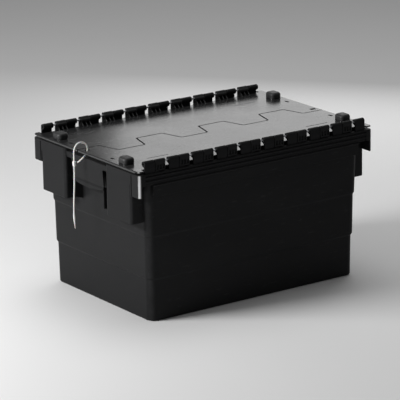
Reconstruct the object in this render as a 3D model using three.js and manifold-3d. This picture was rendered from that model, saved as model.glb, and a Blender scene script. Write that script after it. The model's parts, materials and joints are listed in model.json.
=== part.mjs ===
// Attached lid tote: a tapered plastic tub, two hinged lid leaves that meet in a
// zigzag seam, two steel hinge rods and a pull-tight security seal.
// Millimetres, +Z up. X runs along the tote, Y across it, the base stands on Z = 0.

import * as THREE from 'three';
import { mergeVertices } from 'three/addons/utils/BufferGeometryUtils.js';
import Module from 'manifold-3d';

// ---- Driving dimensions ----------------------------------------------------

const HALF_LENGTH = 300;
const HALF_WIDTH = 200;
const RIM_TOP = 322;
const WALL = 2.6;
const FLOOR_TOP = 3.4;
const RIM_CORNER = 8;
const TUB_CORNER = 18;
const CORNER_STEPS = 5;

// Outside of the tub wall from the base up: height, half length, half width.
const WALL_LEVELS = [
  [0, 261, 177],
  [3, 264, 180],
  [87, 265, 181],
  [95, 267.5, 183.5],
  [179, 268.5, 184.5],
  [187, 270.5, 186.5],
  [RIM_TOP, 274, 190],
];

// Rim flange and the skirt that hangs from its edge.
const FLANGE_THICK = 3.2;
const SKIRT_BOTTOM = 298;
const RAIL_BOTTOM = 271;
const RAIL_HALF = 264;
const RAIL_RIDGES = [315, 306, 296];
const RIDGE_HALF = 2;
const RIDGE_PROUD = 2.5;

// End aprons: two hollow blocks, a corner strip beside each, a handle panel between.
const BLOCK_INNER = 76;
const BLOCK_OUTER = 170;
const BLOCK_BOTTOM = 213;
const BLOCK_ROOT = 20;
const STRIP_BOTTOM = 274;
const STRIP_DEPTH = 7.6;
const NOTCH_DEPTH = 6;
const PANEL_TOP_INSET = 4;
const PANEL_LIP_INSET = 7;
const PANEL_LIP = 260;
const PANEL_SAG = 6;
const SLIT = { inner: 58, top: 304 };
const PANEL_RIB = { thick: 2.4, rise: 4, foot: 292, footTop: 221 };

// Hinges: knuckles on the rim and on the lid take turns along each rod.
const AXIS_Y = 190;
const AXIS_Z = 342;
const PITCH = 60;
const RIM_KNUCKLE = 25;
const LID_KNUCKLE = 24;
const LID_KNUCKLE_SHIFT = 4;
const KNUCKLE_RADIUS = 6;
const KNUCKLE_FOOT = 1;
const KNUCKLE_NECK = 11;
const ROD_RADIUS = 2;
const BORE_RADIUS = 2.6;
const ROD_HALF = 280;

// Lid leaves.
const LID_TOP = 330;
const LID_THICK = 3.2;
const LID_LIP_BOTTOM = RIM_TOP + 2;
const LID_INNER_EDGE = 186;
const END_TAB = { x: 285, y: 198.5 };
const SEAM_GAP = 3;
const TOOTH_HEIGHT = 27;
const TOOTH_PITCH = 80;
const TOOTH_FLANK = 14;
const TOOTH_COUNT = 7;
const RIB_THICK = 2.2;
const RIB_DEPTH = 7;
const RIB_HALF_LENGTH = 264;
const RIB_INSET = 6;
const RIB_LINES = [168, 124, 80, 36];
const LUG = { x0: 266, x1: 292, y0: 109, y1: 139, top: 344, wall: 3, corner: 6 };
const END_SLOT = { x: 282, y: 78, halfX: 3, halfY: 7 };
const SEAL_SLOT = { x0: 279, x1: 293, y: -10, halfY: 5 };

// Security seal: the strap leaves the side of the lock, passes under the lid's edge
// and up through the lid's slot, loops over the edge, runs down through the lock and
// hangs free.
const STRAP_RADIUS = 1.6;
const STRAP_STEPS = 60;
const LOCK = { x0: -321, x1: -315, y0: 9, y1: 16, z0: 301, z1: 311, corner: 1.5 };
const LOCK_HOLE = { x: -318, y: 12.5, radius: 2 };
const STRAP_ROUTE = [
  [-313, 9.6, 308],
  [-311, 8.6, 309],
  [-307.4, 5.6, 312.6],
  [-301, 3.6, 318.2],
  [-294, 6.2, 321.6],
  [-288.4, 8.8, 326.6],
  [-285.6, 10.4, 333.4],
  [-287.6, 11.6, 341.2],
  [-293.6, 12.6, 346.6],
  [-301.5, 13.2, 348.4],
  [-309.4, 13.3, 346],
  [-315, 13.1, 339.4],
  [-317.6, 12.8, 330.6],
  [-318, 12.5, 320],
  [-318, 12.5, 306],
  [-318, 12.5, 292],
  [-318.2, 13, 268],
  [-318.8, 14.4, 240],
  [-319.2, 16, 212],
  [-318.8, 16.6, 188],
  [-317.6, 15.6, 165],
];

// ---- Solid helpers ---------------------------------------------------------

const wasm = await Module();
wasm.setup();

function solid(geometry) {
  const bare = geometry.index ? geometry.toNonIndexed() : geometry.clone();
  bare.deleteAttribute('normal');
  bare.deleteAttribute('uv');
  const merged = mergeVertices(bare, 1e-4);
  return new wasm.Manifold(new wasm.Mesh({
    numProp: 3,
    vertProperties: new Float32Array(merged.attributes.position.array),
    triVerts: new Uint32Array(merged.index.array),
  }));
}

function join(pieces) {
  return pieces.reduce((whole, piece) => whole.add(piece));
}

function cut(body, tools) {
  return tools.reduce((rest, tool) => rest.subtract(tool), body);
}

function box(x0, x1, y0, y1, z0, z1) {
  const geometry = new THREE.BoxGeometry(x1 - x0, y1 - y0, z1 - z0);
  geometry.translate((x0 + x1) / 2, (y0 + y1) / 2, (z0 + z1) / 2);
  return solid(geometry);
}

function outline(points) {
  return new THREE.Shape(points.map(([a, b]) => new THREE.Vector2(a, b)));
}

// Upright prism: an outline in X and Y raised between two heights.
function prismZ(points, z0, z1) {
  const geometry = new THREE.ExtrudeGeometry(outline(points), {
    depth: z1 - z0, bevelEnabled: false, steps: 1,
  });
  geometry.translate(0, 0, z0);
  return solid(geometry);
}

// Prism along X: an outline in Y and Z drawn out between two stations.
function prismX(points, x0, x1) {
  const geometry = new THREE.ExtrudeGeometry(outline(points), {
    depth: x1 - x0, bevelEnabled: false, steps: 1,
  });
  const turn = new THREE.Matrix4().makeBasis(
    new THREE.Vector3(0, 1, 0),
    new THREE.Vector3(0, 0, 1),
    new THREE.Vector3(1, 0, 0),
  );
  geometry.applyMatrix4(turn);
  geometry.translate(x0, 0, 0);
  return solid(geometry);
}

// Prism along Y: an outline in X and Z drawn out between two stations.
function prismY(points, y0, y1) {
  const geometry = new THREE.ExtrudeGeometry(outline(points), {
    depth: y1 - y0, bevelEnabled: false, steps: 1,
  });
  const turn = new THREE.Matrix4().makeBasis(
    new THREE.Vector3(1, 0, 0),
    new THREE.Vector3(0, 0, 1),
    new THREE.Vector3(0, -1, 0),
  );
  geometry.applyMatrix4(turn);
  geometry.translate(0, y1, 0);
  return solid(geometry);
}

function arc(cx, cy, radius, startDegrees, endDegrees, steps) {
  const points = [];
  for (let i = 0; i <= steps; i += 1) {
    const angle = THREE.MathUtils.degToRad(startDegrees + ((endDegrees - startDegrees) * i) / steps);
    points.push([cx + radius * Math.cos(angle), cy + radius * Math.sin(angle)]);
  }
  return points;
}

function circle(cx, cy, radius, sides) {
  return arc(cx, cy, radius, 0, 360 - 360 / sides, sides - 1);
}

// Rounded rectangle, counter-clockwise from the +X side.
function ring(halfX, halfY, radius, steps = CORNER_STEPS) {
  const x = halfX - radius;
  const y = halfY - radius;
  return [
    ...arc(x, y, radius, 0, 90, steps),
    ...arc(-x, y, radius, 90, 180, steps),
    ...arc(-x, -y, radius, 180, 270, steps),
    ...arc(x, -y, radius, 270, 360, steps),
  ];
}

function roundedBlock(x0, x1, y0, y1, z0, z1, radius) {
  const cx = (x0 + x1) / 2;
  const cy = (y0 + y1) / 2;
  const points = ring((x1 - x0) / 2, (y1 - y0) / 2, radius, 3);
  return prismZ(points.map(([x, y]) => [x + cx, y + cy]), z0, z1);
}

// Closed body through rounded rectangles stacked in Z: height, half length, half width.
function loft(levels, radius) {
  const positions = [];
  const indices = [];
  const count = 4 * (CORNER_STEPS + 1);
  for (const [z, halfX, halfY] of levels) {
    for (const [x, y] of ring(halfX, halfY, radius)) {
      positions.push(x, y, z);
    }
  }
  for (let level = 0; level < levels.length - 1; level += 1) {
    for (let i = 0; i < count; i += 1) {
      const a = level * count + i;
      const b = level * count + ((i + 1) % count);
      indices.push(a, b, b + count, a, b + count, a + count);
    }
  }
  const top = (levels.length - 1) * count;
  for (let i = 1; i < count - 1; i += 1) {
    indices.push(0, i + 1, i, top, top + i, top + i + 1);
  }
  const geometry = new THREE.BufferGeometry();
  geometry.setAttribute('position', new THREE.Float32BufferAttribute(positions, 3));
  geometry.setIndex(indices);
  return solid(geometry);
}

function mirrorY(body) {
  return body.mirror([0, 1, 0]);
}

function mirrorX(body) {
  return body.mirror([1, 0, 0]);
}

// ---- Hinge layout ----------------------------------------------------------

// Middles of a row of knuckles along +X, one pitch apart.
function stations(first, count) {
  return Array.from({ length: count }, (_, i) => first + i * PITCH);
}

const rimStations = stations(-4.5 * PITCH, 10);
const lidStations = stations(-4 * PITCH + LID_KNUCKLE_SHIFT, 9);

function bore(middle, width) {
  const round = circle(AXIS_Y, AXIS_Z, BORE_RADIUS, 10);
  return prismX(round, middle - width / 2 - 1, middle + width / 2 + 1);
}

// ---- Tub -------------------------------------------------------------------

function tubWall() {
  return loft(WALL_LEVELS, TUB_CORNER);
}

function tubCavity() {
  const lift = WALL_LEVELS.slice(1).map(([z, x, y]) => [z, x - WALL, y - WALL]);
  lift[0][0] = FLOOR_TOP;
  const last = lift[lift.length - 1];
  lift.push([RIM_TOP + 1, last[1], last[2]]);
  return loft(lift, TUB_CORNER - WALL);
}

function rimAndSkirt() {
  const edge = ring(HALF_LENGTH, HALF_WIDTH, RIM_CORNER);
  const inside = ring(HALF_LENGTH - WALL, HALF_WIDTH - WALL, RIM_CORNER - WALL);
  const cap = prismZ(edge, SKIRT_BOTTOM, RIM_TOP);
  return cap.subtract(prismZ(inside, SKIRT_BOTTOM - 1, RIM_TOP - FLANGE_THICK));
}

// Clears the skirt along the two long sides, where the ridged rails stand.
function railRecess() {
  return box(
    -RAIL_HALF, RAIL_HALF,
    HALF_WIDTH - RIDGE_PROUD, HALF_WIDTH + 1,
    SKIRT_BOTTOM - 1, RIM_TOP - FLANGE_THICK,
  );
}

// Hinge rail down one long side, with its ridges and the webs behind it.
function rail() {
  const face = HALF_WIDTH - RIDGE_PROUD;
  const profile = [[face - WALL, RAIL_BOTTOM], [face, RAIL_BOTTOM]];
  for (const z of [...RAIL_RIDGES].reverse()) {
    profile.push([face, z - RIDGE_HALF], [HALF_WIDTH, z - RIDGE_HALF + 1]);
    profile.push([HALF_WIDTH, z + RIDGE_HALF - 1], [face, z + RIDGE_HALF]);
  }
  profile.push([face, RIM_TOP - FLANGE_THICK / 2], [face - WALL, RIM_TOP - FLANGE_THICK / 2]);
  const webs = [...rimStations.slice(1, -1), -RAIL_HALF + WALL / 2, RAIL_HALF - WALL / 2];
  const wallY = AXIS_Y - WALL;
  return join([
    prismX(profile, -RAIL_HALF, RAIL_HALF),
    ...webs.map((x) => box(x - WALL / 2, x + WALL / 2, wallY, face - 1, RAIL_BOTTOM + 1, RIM_TOP - 1)),
  ]);
}

function rimKnuckle(middle) {
  const foot = RIM_TOP - 1;
  const profile = [
    [AXIS_Y + KNUCKLE_FOOT, foot],
    [AXIS_Y + KNUCKLE_RADIUS, foot],
    ...arc(AXIS_Y, AXIS_Z, KNUCKLE_RADIUS, 0, 210, 7),
    [AXIS_Y + KNUCKLE_FOOT, AXIS_Z - KNUCKLE_NECK],
  ];
  return prismX(profile, middle - RIM_KNUCKLE / 2, middle + RIM_KNUCKLE / 2);
}

// One hollow block of an end apron, open below, with a web down its middle.
function apronBlock() {
  const inner = WALL_LEVELS[5][1] - 1;
  const middle = (BLOCK_INNER + BLOCK_OUTER) / 2;
  const root = inner - BLOCK_ROOT;
  const skin = roundedBlock(
    root, HALF_LENGTH, BLOCK_INNER, BLOCK_OUTER, BLOCK_BOTTOM, RIM_TOP - 1, RIM_CORNER,
  );
  const cells = [
    [BLOCK_INNER + WALL, middle - WALL / 2],
    [middle + WALL / 2, BLOCK_OUTER - WALL],
  ];
  const hollows = cells.map(([y0, y1]) => (
    box(root - 1, HALF_LENGTH - WALL, y0, y1, BLOCK_BOTTOM - 1, RIM_TOP - FLANGE_THICK)
  ));
  return cut(skin, hollows);
}

function cornerStrip() {
  const edge = ring(HALF_LENGTH, HALF_WIDTH, RIM_CORNER);
  const band = box(
    HALF_LENGTH - STRIP_DEPTH, HALF_LENGTH + 1,
    BLOCK_OUTER - 1, HALF_WIDTH + 1,
    STRIP_BOTTOM, RIM_TOP - 1,
  );
  return prismZ(edge, STRIP_BOTTOM, RIM_TOP).intersect(band);
}

// Handle panel between the blocks: leans inward to its lower lip, which sags in the middle.
function handlePanel() {
  const top = RIM_TOP - NOTCH_DEPTH;
  const shelfBottom = top - FLANGE_THICK;
  const topX = HALF_LENGTH - PANEL_TOP_INSET;
  const lipX = HALF_LENGTH - PANEL_LIP_INSET;
  const wallX = WALL_LEVELS[6][1] - 1;
  const low = PANEL_LIP - PANEL_SAG - 1;
  const profile = [
    [wallX, top],
    [wallX, shelfBottom],
    [topX - WALL, shelfBottom],
    [lipX - WALL, low],
    [lipX, low],
    [topX, top],
  ];
  const panel = prismY(profile, -BLOCK_INNER - 1, BLOCK_INNER + 1);
  const below = low - 1;
  const sagRadius = (SLIT.inner ** 2 + PANEL_SAG ** 2) / (2 * PANEL_SAG);
  const sweep = THREE.MathUtils.radToDeg(Math.asin(SLIT.inner / sagRadius));
  const trim = [
    [-SLIT.inner, below],
    ...arc(0, PANEL_LIP - PANEL_SAG + sagRadius, sagRadius, 270 - sweep, 270 + sweep, 8),
    [SLIT.inner, below],
  ];
  const slit = box(wallX - 1, HALF_LENGTH + 1, SLIT.inner, BLOCK_INNER + 2, below, SLIT.top);
  return cut(panel, [prismX(trim, wallX - 1, HALF_LENGTH + 1), slit, mirrorY(slit)]);
}

// Slim rib that runs down the wall from the end of the handle panel.
function panelRib() {
  const wallX = WALL_LEVELS[5][1] - 1;
  const lipX = HALF_LENGTH - PANEL_LIP_INSET - 1;
  const profile = [
    [wallX, PANEL_LIP + PANEL_RIB.rise],
    [wallX, BLOCK_BOTTOM + 1],
    [PANEL_RIB.foot, PANEL_RIB.footTop],
    [lipX, PANEL_LIP - PANEL_RIB.rise],
    [lipX, PANEL_LIP + PANEL_RIB.rise],
  ];
  return prismY(profile, SLIT.inner - PANEL_RIB.thick, SLIT.inner);
}

function tubEnd() {
  const notch = box(
    WALL_LEVELS[6][1], HALF_LENGTH + 1,
    -BLOCK_INNER, BLOCK_INNER,
    SKIRT_BOTTOM - 1, RIM_TOP + 1,
  );
  const blocks = [apronBlock(), mirrorY(apronBlock())];
  const strips = [cornerStrip(), mirrorY(cornerStrip())];
  const panel = join([handlePanel(), panelRib(), mirrorY(panelRib())]);
  return { add: [...blocks, ...strips], notch, panel };
}

function tub() {
  const end = tubEnd();
  const railBack = rail();
  const knuckles = join(rimStations.map(rimKnuckle));
  let body = join([
    tubWall(), rimAndSkirt(),
    ...end.add, ...end.add.map(mirrorX),
  ]);
  body = cut(body, [end.notch, mirrorX(end.notch), railRecess(), mirrorY(railRecess())]);
  body = join([body, railBack, mirrorY(railBack), end.panel, mirrorX(end.panel)]);
  body = body.subtract(tubCavity());
  body = join([body, knuckles, mirrorY(knuckles)]);
  const bores = join(rimStations.map((x) => bore(x, RIM_KNUCKLE)));
  return cut(body, [bores, mirrorY(bores)]);
}

// ---- Lid leaf (hinged on the +Y side) ---------------------------------------

// Edge of the leaf along the zigzag seam, from -X to +X, half the gap inside the seam.
function seamEdge() {
  const gap = SEAM_GAP / 2;
  const points = [[-HALF_LENGTH, TOOTH_HEIGHT + gap]];
  for (let k = 0; k < TOOTH_COUNT; k += 1) {
    const falling = k % 2 === 0;
    const before = falling ? TOOTH_HEIGHT : -TOOTH_HEIGHT;
    const shift = falling ? gap : -gap;
    const x = (k - (TOOTH_COUNT - 1) / 2) * TOOTH_PITCH + shift;
    points.push([x - TOOTH_FLANK / 2, before + gap], [x + TOOTH_FLANK / 2, gap - before]);
  }
  points.push([HALF_LENGTH, gap - TOOTH_HEIGHT]);
  return points;
}

function leafOutline() {
  const corner = RIM_CORNER;
  return [
    ...seamEdge(),
    ...arc(HALF_LENGTH - corner, END_TAB.y - corner, corner, 0, 90, 3),
    [END_TAB.x, END_TAB.y],
    [END_TAB.x, LID_INNER_EDGE],
    [-END_TAB.x, LID_INNER_EDGE],
    [-END_TAB.x, END_TAB.y],
    ...arc(-HALF_LENGTH + corner, END_TAB.y - corner, corner, 90, 180, 3),
  ];
}

function lidKnuckle(middle) {
  const under = LID_TOP - LID_THICK;
  const profile = [
    [LID_INNER_EDGE - 2, under],
    [AXIS_Y + KNUCKLE_RADIUS, under],
    ...arc(AXIS_Y, AXIS_Z, KNUCKLE_RADIUS, 0, 150, 5),
    [LID_INNER_EDGE - 2, LID_TOP - 1],
  ];
  return prismX(profile, middle - LID_KNUCKLE / 2, middle + LID_KNUCKLE / 2);
}

function endLip(y0) {
  return box(HALF_LENGTH - WALL, HALF_LENGTH, y0, LID_INNER_EDGE, LID_LIP_BOTTOM, LID_TOP - 1);
}

function lidRibs() {
  const top = LID_TOP - LID_THICK + 1;
  const bottom = LID_TOP - LID_THICK - RIB_DEPTH;
  const crossBottom = bottom + 1;
  const half = RIB_THICK / 2;
  const last = RIB_LINES[RIB_LINES.length - 1];
  const lines = RIB_LINES.map((y) => (
    box(-RIB_HALF_LENGTH, RIB_HALF_LENGTH, y - half, y + half, bottom, top)
  ));
  const cross = [];
  for (let x = -RIB_HALF_LENGTH; x <= RIB_HALF_LENGTH; x += RIB_HALF_LENGTH / 6) {
    cross.push(box(x - half, x + half, last, RIB_LINES[0], crossBottom, top));
  }
  const teeth = [];
  for (let k = 0; k <= TOOTH_COUNT; k += 1) {
    const x = (k - TOOTH_COUNT / 2) * TOOTH_PITCH;
    if (k % 2 === 1) {
      const side = Math.min(x, RIB_HALF_LENGTH - RIB_INSET);
      teeth.push(box(side - half, side + half, -TOOTH_HEIGHT + RIB_INSET, last, crossBottom, top));
    }
  }
  return join([...lines, ...cross, ...teeth]);
}

function lug() {
  const shell = roundedBlock(LUG.x0, LUG.x1, LUG.y0, LUG.y1, LID_TOP - 1, LUG.top, LUG.corner);
  const hollow = box(
    LUG.x0 + LUG.wall, LUG.x1 - LUG.wall,
    LUG.y0 + LUG.wall, LUG.y1 - LUG.wall,
    LID_TOP - LID_THICK - 1, LUG.top - LUG.wall,
  );
  return { shell, hollow };
}

function lidLeaf() {
  const under = LID_TOP - LID_THICK;
  const plate = prismZ(leafOutline(), under, LID_TOP);
  const { shell, hollow } = lug();
  const slot = box(
    END_SLOT.x - END_SLOT.halfX, END_SLOT.x + END_SLOT.halfX,
    END_SLOT.y - END_SLOT.halfY, END_SLOT.y + END_SLOT.halfY,
    under - 1, LID_TOP + 1,
  );
  const sealSlot = box(
    SEAL_SLOT.x0, SEAL_SLOT.x1,
    SEAL_SLOT.y - SEAL_SLOT.halfY, SEAL_SLOT.y + SEAL_SLOT.halfY,
    under - 1, LID_TOP + 1,
  );
  const body = join([
    plate,
    ...lidStations.map(lidKnuckle),
    endLip(-TOOTH_HEIGHT + SEAM_GAP),
    mirrorX(endLip(TOOTH_HEIGHT + SEAM_GAP)),
    lidRibs(),
    shell,
    mirrorX(shell),
  ]);
  const bores = join(lidStations.map((x) => bore(x, LID_KNUCKLE)));
  return cut(body, [hollow, mirrorX(hollow), slot, mirrorX(slot), sealSlot, bores]);
}

// ---- Rods and seal ---------------------------------------------------------

function hingeRod(side) {
  const geometry = new THREE.CylinderGeometry(ROD_RADIUS, ROD_RADIUS, 2 * ROD_HALF, 12);
  geometry.rotateZ(Math.PI / 2);
  geometry.translate(0, side * AXIS_Y, AXIS_Z);
  return solid(geometry);
}

function sealStrap() {
  const points = STRAP_ROUTE.map(([x, y, z]) => new THREE.Vector3(x, y, z));
  const path = new THREE.CatmullRomCurve3(points);
  const section = outline(circle(0, 0, STRAP_RADIUS, 8));
  return solid(new THREE.ExtrudeGeometry(section, {
    extrudePath: path, steps: STRAP_STEPS, bevelEnabled: false,
  }));
}

function sealLock() {
  const head = roundedBlock(
    LOCK.x0, LOCK.x1, LOCK.y0, LOCK.y1, LOCK.z0, LOCK.z1, LOCK.corner,
  );
  const round = circle(LOCK_HOLE.x, LOCK_HOLE.y, LOCK_HOLE.radius, 12);
  return head.subtract(prismZ(round, LOCK.z0 - 1, LOCK.z1 + 1));
}

// ---- Assembly --------------------------------------------------------------

function mesh(name, body, material) {
  const { numProp, vertProperties, triVerts } = body.getMesh();
  const positions = new Float32Array((vertProperties.length / numProp) * 3);
  for (let i = 0; i < positions.length / 3; i += 1) {
    for (let axis = 0; axis < 3; axis += 1) {
      positions[3 * i + axis] = vertProperties[numProp * i + axis];
    }
  }
  const geometry = new THREE.BufferGeometry();
  geometry.setAttribute('position', new THREE.BufferAttribute(positions, 3));
  geometry.setIndex(new THREE.BufferAttribute(new Uint32Array(triVerts), 1));
  geometry.computeVertexNormals();
  const result = new THREE.Mesh(geometry, material);
  result.name = name;
  return result;
}

function plastic(colour) {
  return new THREE.MeshStandardMaterial({ color: colour, roughness: 0.45, metalness: 0 });
}

function steel() {
  return new THREE.MeshStandardMaterial({ color: 0xb4b6b8, roughness: 0.35, metalness: 1 });
}

const BLACK = 0x1c1c1d;
const WHITE = 0xecebe6;

const tote = new THREE.Group();

tote.add(mesh('tub', tub(), plastic(BLACK)));

const leaf = lidLeaf();
const lidBack = mesh('lid_back', leaf, plastic(BLACK));
const lidFront = mesh('lid_front', leaf, plastic(BLACK));
lidFront.rotation.z = Math.PI;
tote.add(lidBack, lidFront);

tote.add(mesh('hinge_rod_back', hingeRod(1), steel()));
tote.add(mesh('hinge_rod_front', hingeRod(-1), steel()));

tote.add(mesh('seal_strap', sealStrap(), plastic(WHITE)));
tote.add(mesh('seal_lock', sealLock(), plastic(WHITE)));

export default tote;
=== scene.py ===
"""Attached lid tote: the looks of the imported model, in the model's own frame.

Shapes are written in millimetres and turned into metres when a mesh is made.
"""
import json
import math

import bmesh
import bpy
from mathutils import Matrix, Vector


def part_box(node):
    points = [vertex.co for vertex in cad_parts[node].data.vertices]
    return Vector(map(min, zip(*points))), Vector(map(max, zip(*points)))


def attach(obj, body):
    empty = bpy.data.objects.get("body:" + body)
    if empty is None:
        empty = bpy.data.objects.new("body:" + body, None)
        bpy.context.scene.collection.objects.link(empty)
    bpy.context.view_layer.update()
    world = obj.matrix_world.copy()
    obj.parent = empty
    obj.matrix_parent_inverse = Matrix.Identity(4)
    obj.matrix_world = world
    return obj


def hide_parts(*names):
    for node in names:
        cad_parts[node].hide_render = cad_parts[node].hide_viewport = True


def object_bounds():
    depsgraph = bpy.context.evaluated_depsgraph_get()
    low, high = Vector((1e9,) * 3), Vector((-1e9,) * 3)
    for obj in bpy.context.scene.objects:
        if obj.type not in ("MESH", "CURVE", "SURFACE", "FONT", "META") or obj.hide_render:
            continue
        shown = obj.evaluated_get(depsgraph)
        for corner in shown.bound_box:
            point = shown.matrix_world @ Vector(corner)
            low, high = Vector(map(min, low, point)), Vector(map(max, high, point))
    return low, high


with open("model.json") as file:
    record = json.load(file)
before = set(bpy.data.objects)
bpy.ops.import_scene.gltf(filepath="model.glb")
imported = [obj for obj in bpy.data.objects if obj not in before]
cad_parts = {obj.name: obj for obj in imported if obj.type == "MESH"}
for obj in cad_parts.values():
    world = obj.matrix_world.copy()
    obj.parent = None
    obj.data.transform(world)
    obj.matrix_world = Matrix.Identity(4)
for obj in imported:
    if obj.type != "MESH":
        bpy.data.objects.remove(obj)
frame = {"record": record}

CAD_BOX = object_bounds()
MM = 0.001
scene = bpy.context.scene


def millimetres(corner):
    return Vector(corner) / MM


# ---- Sizes read from the frame ----------------------------------------------

TUB_HIGH = millimetres(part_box("tub")[1])
ROD_LOW, ROD_HIGH = [millimetres(c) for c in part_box("hinge_rod_back")]
LOCK_LOW, LOCK_HIGH = [millimetres(c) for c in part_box("seal_lock")]
HINGES = {j["name"]: j for j in frame["record"]["behaviour"]["joints"]}
AXIS = millimetres(HINGES["back_lid_hinge"]["pos_m"])

HALF_LENGTH = TUB_HIGH.x
HALF_WIDTH = TUB_HIGH.y
AXIS_Y = AXIS.y
AXIS_Z = AXIS.z

# ---- Other driving sizes, in millimetres --------------------------------------

WALL = 2.6
FLOOR_TOP = 3.4
RIM_TOP = 322.0
FLANGE_UNDER = 318.8
SKIRT_BOTTOM = 298.0
RIM_CORNER = 8.0
TUB_CORNER = 18.0
CORNER_STEPS = 10

# Outside of the tub wall from the base up: height, half length, half width.
WALL_LEVELS = [
    (3, 264, 180),
    (87, 265, 181),
    (95, 267.5, 183.5),
    (179, 268.5, 184.5),
    (187, 270.5, 186.5),
    (RIM_TOP, 274, 190),
]

BLOCK_INNER = 76.0
BLOCK_OUTER = 170.0
BLOCK_BOTTOM = 213.0
BLOCK_CORNER = 7.0
BLOCK_ROOT = 262.0
CELL_ROOT = 255.0
CELL_CORNER = 4.0
STRIP_BOTTOM = 274.0
STRIP_DEPTH = 7.6
GROOVE_DEPTH = 2.1
GROOVE_WIDTH = 2.6
NOTCH_DEPTH = 6.0
NOTCH_BOTTOM = 240.0
PANEL_LIP = 260.0
PANEL_SAG = 6.0
SLIT_INNER = 58.0
SLIT_TOP = 304.0
PANEL_TOP_INSET = 4.0
PANEL_LIP_INSET = 7.0
PANEL_LIP_PROUD = 2.4
PANEL_RIB_THICK = 2.4
PANEL_RIB_RISE = 4.0
PANEL_RIB_FOOT = (292.0, 221.0)

RAIL_BOTTOM = 271.0
RAIL_HALF = 264.0
RECESS_HALF = 284.0
RECESS_BOTTOM = 290.0
RAIL_RIDGES = (315.0, 306.0, 296.0)
RIDGE_PROUD = 2.5
RIDGE_ROOT_HALF = 2.4
RIDGE_CREST_HALF = 1.1
WEB_INNER = 186.0

PITCH = 60.0
RIM_STATIONS = [(k - 4.5) * PITCH for k in range(10)]
RIM_KNUCKLE = 25.0
LID_KNUCKLE = 24.0
LID_KNUCKLE_SHIFT = 4.0
LID_STATIONS = [(k - 4) * PITCH + LID_KNUCKLE_SHIFT for k in range(9)]
BARREL = 6.0
BARREL_SWEEP = 230.0
KNUCKLE_FOOT = 1.6
KNUCKLE_NECK = 7.5
BORE = 2.6
SEGMENT_THICK = 3.2
SEGMENT_FOOT = 324.2
CELL_PITCH = 7.2
CELL_HALF = 2.7
CELL_DEPTH = 2.6
GUSSET_HALF = 0.9
GUSSET_INSET = 2.2

LID_TOP = 330.0
LID_UNDER = 326.8
LID_LIP_BOTTOM = 325.0
LID_INNER_EDGE = 186.0
LID_EDGE = 1.5
LID_CORNER = 2.4
NOTCH_CORNER = 2.0
TAB_X = 285.0
TAB_Y = 198.5
SEAM_GAP = 3.0
TOOTH_HEIGHT = 27.0
TOOTH_PITCH = 80.0
TOOTH_FLANK = 14.0
TOOTH_COUNT = 7
TOOTH_ROUND = 5.0
SEAM_OVERRUN = 5.0
LUG_X = (266.0, 292.0)
LUG_Y = (109.0, 139.0)
LUG_TOP = 344.0
LUG_WALL = 2.4
LUG_CORNER = 8.5
LUG_EDGE = 6.0
LUG_ROOT = 323.0
LUG_WEB_HALF = 0.8
HOLLOW_CORNER = 5.0
RELIEF_SPANS = ((-241, -184), (173, 225))
RELIEF_Y = (119, 121)
RELIEF_HEIGHT = 0.4

# Openings through the plate, as spans in X and Y.
TIE_SLOTS = (((-285, -279), (71, 85)), ((279, 285), (71, 85)))
SEAL_SLOT = ((279, 293), (-15, -5))

RIB_BOTTOM = 319.8
RIB_LINES = (168.0, 124.0, 80.0, 36.0)
RIB_HALF_LENGTH = 264.0
RIB_THICK = 1.8
MIDDLE_RIB = 94.0
FINE_RIB_THICK = 1.4
FINE_RIB_COUNT = 34
FINE_RIB_INSET = 8
END_RIB_X = 295.5
END_RIB_THICK = 1.2
END_RIB_SPANS = ((104, 144), (32, 60))
END_RIB_LINES = (40, 52, 92, 102, 146, 158, 168)
END_RIB_REACH = 298
SPLAY = (9, 3.5)
PAD_HALF = 24
PAD_INSET = 6
PAD_CORNER = 6.0
PAD_FLARE = 9

# How far a cutting shape reaches past the surface that it opens.
PAST = 2.0

STRAP_RADIUS = 1.6
STRAP_ROUTE = [
    (-313, 9.6, 308), (-311, 8.6, 309), (-307.4, 5.6, 312.6), (-301, 3.6, 318.2),
    (-294, 6.2, 321.6), (-288.4, 8.8, 326.6), (-285.6, 10.4, 333.4), (-287.6, 11.6, 341.2),
    (-293.6, 12.6, 346.6), (-301.5, 13.2, 348.4), (-309.4, 13.3, 346), (-315, 13.1, 339.4),
    (-317.6, 12.8, 330.6), (-318, 12.5, 320), (-318, 12.5, 306), (-318, 12.5, 292),
    (-318.2, 13, 268), (-318.8, 14.4, 240), (-319.2, 16, 212), (-318.8, 16.6, 188),
    (-317.6, 15.6, 165),
]

# The tail of the strap is widest at its last grip, and thins to a point below it.
TAIL_WIDENS = 205.0
TAIL_WIDEST = 190.0
TAIL_POINT = 14.0
TAIL_GRIP = 12.0
LOCK_CORNER = 1.4
LOCK_RIDGE_PROUD = 0.6
LOCK_HOLE = (-318, 12.5)
LOCK_HOLE_RADIUS = 1.5

# ---- Camera ------------------------------------------------------------------

CAMERA_AT = Vector((-3.286, -4.663, 1.835))
CAMERA_LENS = 250.0
CAMERA_ROLL = math.radians(-0.91)

middle = (Vector(CAD_BOX[0]) + Vector(CAD_BOX[1])) / 2
camera_data = bpy.data.cameras.new("camera")
camera_data.lens = CAMERA_LENS
camera_data.sensor_width = 36.0
camera_data.clip_end = 60.0
camera = bpy.data.objects.new("camera", camera_data)
scene.collection.objects.link(camera)
aim = (middle - CAMERA_AT).to_track_quat("-Z", "Y").to_matrix().to_4x4()
camera.matrix_world = Matrix.Translation(CAMERA_AT) @ aim @ Matrix.Rotation(CAMERA_ROLL, 4, "Z")
scene.camera = camera


# ---- Mesh helpers ------------------------------------------------------------

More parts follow.
